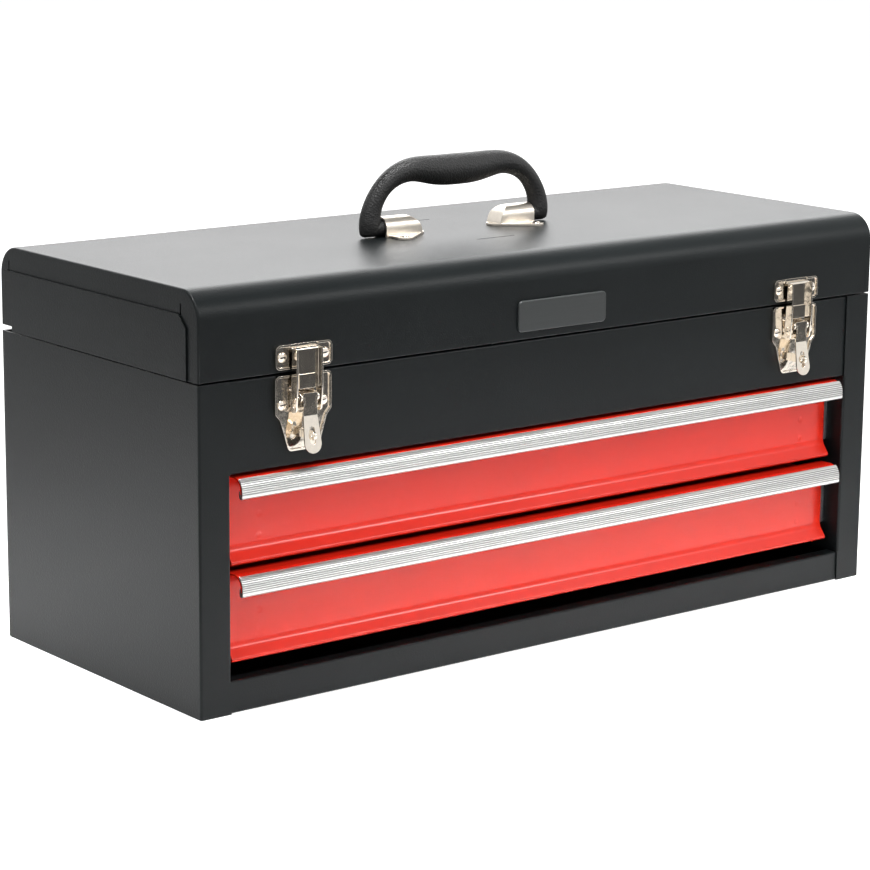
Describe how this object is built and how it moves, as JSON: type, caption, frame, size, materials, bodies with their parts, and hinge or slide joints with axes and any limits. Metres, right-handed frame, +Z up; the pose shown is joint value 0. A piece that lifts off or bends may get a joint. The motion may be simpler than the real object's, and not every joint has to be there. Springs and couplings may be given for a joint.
{
  "type": "portable tool box",
  "caption": "Portable steel tool box with drawers on telescopic slides, a lidded till above them, draw latches and a folding carrying handle.",
  "frame": {"origin": "middle of the underside of the case, below the middle of its width and depth", "axes": "+X to the right seen from the front, +Y to the back, +Z up; the front with the drawers faces -Y"},
  "size_m": [0.512, 0.2174, 0.281],
  "materials": {
    "case_paint": "fine textured semi-gloss powder coat",
    "drawer_paint": "gloss enamel",
    "pull_aluminium": "satin anodised, ribbed",
    "nickel": "bright nickel plate",
    "zinc_steel": "zinc plated",
    "handle_plastic": "fine grained moulding",
    "plate_plastic": "satin, blank"
  },
  "bodies": {
    "case": {"front_panel": "case_paint", "back_panel": "case_paint", "bottom_panel": "case_paint", "till_floor": "case_paint", "hinge_body_leaf": "zinc_steel", "hinge_pin": "zinc_steel", "latch_base_rivets": "nickel", "left_side_panel": "case_paint", "left_slide_post": "zinc_steel", "left_latch_base": "nickel", "left_lever_pin": "nickel", "left_lower_fixed_slide": "zinc_steel", "left_upper_fixed_slide": "zinc_steel", "right_side_panel": "case_paint", "right_slide_post": "zinc_steel", "right_latch_base": "nickel", "right_lever_pin": "nickel", "right_lower_fixed_slide": "zinc_steel", "right_upper_fixed_slide": "zinc_steel"},
    "lid": {"lid_cover": "case_paint", "handle_stiffener": "case_paint", "name_plate": "plate_plastic", "hinge_lid_leaf": "zinc_steel", "handle_rivets": "nickel", "keeper_rivets": "nickel", "left_lid_end": "case_paint", "left_handle_bracket": "nickel", "left_latch_keeper": "nickel", "right_lid_end": "case_paint", "right_handle_bracket": "nickel", "right_latch_keeper": "nickel"},
    "handle": {"handle_grip": "handle_plastic"},
    "left_lever": {"left_latch_lever": "nickel", "left_link_pin": "nickel"},
    "left_link": {"left_latch_link": "nickel"},
    "right_lever": {"right_latch_lever": "nickel", "right_link_pin": "nickel"},
    "right_link": {"right_latch_link": "nickel"},
    "lower_drawer": {"lower_drawer_front": "drawer_paint", "lower_drawer_ledge": "drawer_paint", "lower_pull_strip": "pull_aluminium", "lower_drawer_tray": "drawer_paint", "left_lower_moving_slide": "zinc_steel", "right_lower_moving_slide": "zinc_steel"},
    "lower_middle": {"left_lower_middle_slide": "zinc_steel", "right_lower_middle_slide": "zinc_steel"},
    "upper_drawer": {"upper_drawer_front": "drawer_paint", "upper_drawer_ledge": "drawer_paint", "upper_pull_strip": "pull_aluminium", "upper_drawer_tray": "drawer_paint", "left_upper_moving_slide": "zinc_steel", "right_upper_moving_slide": "zinc_steel"},
    "upper_middle": {"left_upper_middle_slide": "zinc_steel", "right_upper_middle_slide": "zinc_steel"}
  },
  "joints": [
    {"name": "lid_hinge", "type": "hinge", "parent": "case", "child": "lid", "pos_m": [0, 0.10125, 0.1866], "axis": [-1, 0, 0], "range_deg": [0, 100]},
    {"name": "handle_pivot", "type": "hinge", "parent": "lid", "child": "handle", "pos_m": [0, 0, 0.2405], "axis": [1, 0, 0], "range_deg": [-82, 82]},
    {"name": "left_lever_pivot", "type": "hinge", "parent": "case", "child": "left_lever", "pos_m": [-0.1875, -0.1075, 0.172], "axis": [-1, 0, 0], "range_deg": [0, 120]},
    {"name": "left_link_pivot", "type": "hinge", "parent": "left_lever", "child": "left_link", "pos_m": [-0.1875, -0.1063, 0.166], "axis": [-1, 0, 0], "range_deg": [-132, 0]},
    {"name": "right_lever_pivot", "type": "hinge", "parent": "case", "child": "right_lever", "pos_m": [0.1875, -0.1075, 0.172], "axis": [-1, 0, 0], "range_deg": [0, 120]},
    {"name": "right_link_pivot", "type": "hinge", "parent": "right_lever", "child": "right_link", "pos_m": [0.1875, -0.1063, 0.166], "axis": [-1, 0, 0], "range_deg": [-132, 0]},
    {"name": "lower_drawer_slide", "type": "slide", "parent": "case", "child": "lower_drawer", "axis": [0, -1, 0], "range_m": [0, 0.12]},
    {"name": "lower_middle_slide", "type": "slide", "parent": "case", "child": "lower_middle", "axis": [0, -1, 0], "range_m": [0, 0.06]},
    {"name": "upper_drawer_slide", "type": "slide", "parent": "case", "child": "upper_drawer", "axis": [0, -1, 0], "range_m": [0, 0.12]},
    {"name": "upper_middle_slide", "type": "slide", "parent": "case", "child": "upper_middle", "axis": [0, -1, 0], "range_m": [0, 0.06]}
  ],
  "couplings": [
    {"joint": "left_link_pivot", "follows": "left_lever_pivot", "ratio": -1.1},
    {"joint": "right_link_pivot", "follows": "right_lever_pivot", "ratio": -1.1},
    {"joint": "lower_middle_slide", "follows": "lower_drawer_slide", "ratio": 0.5},
    {"joint": "upper_middle_slide", "follows": "upper_drawer_slide", "ratio": 0.5}
  ]
}
